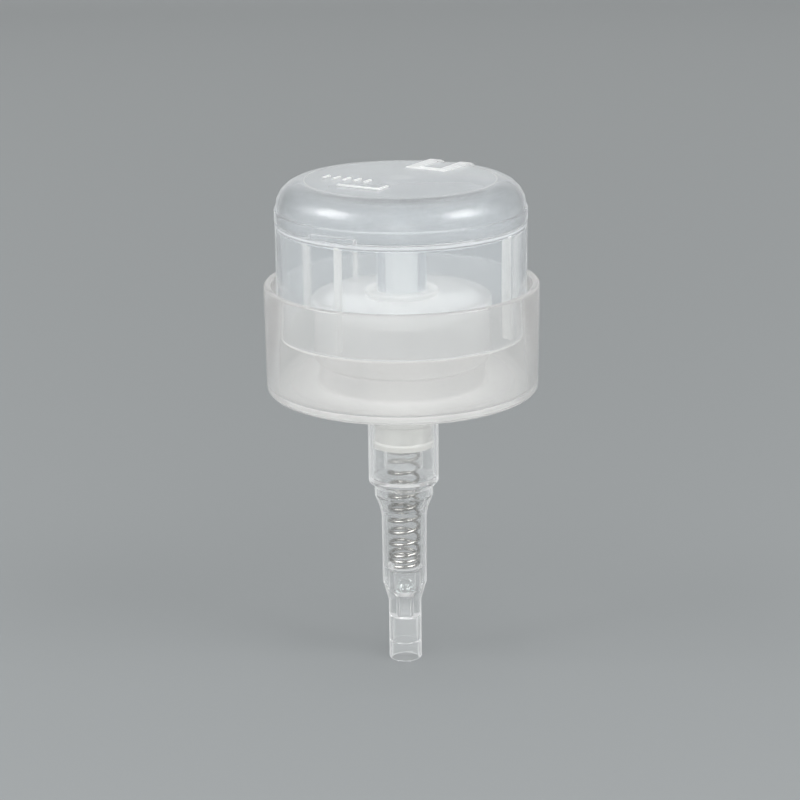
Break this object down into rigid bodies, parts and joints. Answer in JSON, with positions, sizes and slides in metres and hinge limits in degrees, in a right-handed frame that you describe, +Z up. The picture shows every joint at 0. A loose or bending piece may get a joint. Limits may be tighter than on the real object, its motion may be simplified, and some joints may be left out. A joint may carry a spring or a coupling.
{
  "type": "push-down liquid pump head",
  "caption": "Translucent push-down pump head with a domed flip lid, a double-wall screw collar and a sprung pump barrel that ends in a dip-tube socket.",
  "frame": {"origin": "centre of the bottle neck's sealing plane, on the pump's axis", "axes": "+Z up along the pump's axis, away from the bottle; +Y towards the lid's hinge; +X completes the right-handed set"},
  "size_m": [0.044, 0.044, 0.0816],
  "materials": {
    "clear_pp": "glossy natural polypropylene, nearly clear",
    "natural_pp": "satin natural polypropylene, cloudy",
    "milky_pp": "milky moulded polypropylene",
    "soft_pe": "soft milky polyethylene",
    "foam_gasket": "white foamed polyethylene",
    "spring_wire": "drawn stainless wire",
    "ball_glass": "ground and polished glass ball"
  },
  "bodies": {
    "closure": {"screw_cap": "natural_pp"},
    "pump_body": {"housing": "clear_pp", "throat_plug": "milky_pp", "neck_gasket": "foam_gasket", "return_spring": "spring_wire"},
    "plunger": {"spring_cup": "clear_pp", "piston": "soft_pe"},
    "head": {"head": "clear_pp", "stem": "milky_pp"},
    "lid": {"lid": "clear_pp"},
    "inlet_valve": {"inlet_ball": "ball_glass"},
    "outlet_valve": {"outlet_ball": "ball_glass"}
  },
  "joints": [
    {"name": "cap_turn", "type": "hinge", "parent": "closure", "child": "pump_body", "pos_m": [0, 0, 0], "axis": [0, 0, 1], "continuous": true},
    {"name": "press", "type": "slide", "parent": "pump_body", "child": "plunger", "axis": [0, 0, -1], "range_m": [0, 0.005], "stiffness_N_per_m": 1300, "springref_m": -0.004, "deforming": ["return_spring"]},
    {"name": "head_turn", "type": "hinge", "parent": "plunger", "child": "head", "pos_m": [0, 0, 0], "axis": [0, 0, 1], "continuous": true},
    {"name": "lid_hinge", "type": "hinge", "parent": "head", "child": "lid", "pos_m": [0, 0.0193, 0.01732], "axis": [-1, 0, 0], "range_deg": [0, 120]},
    {"name": "inlet_lift", "type": "slide", "parent": "pump_body", "child": "inlet_valve", "axis": [0, 0, 1], "range_m": [0, 0.0012]},
    {"name": "outlet_lift", "type": "slide", "parent": "plunger", "child": "outlet_valve", "axis": [0, 0, 1], "range_m": [0, 0.0008]}
  ]
}
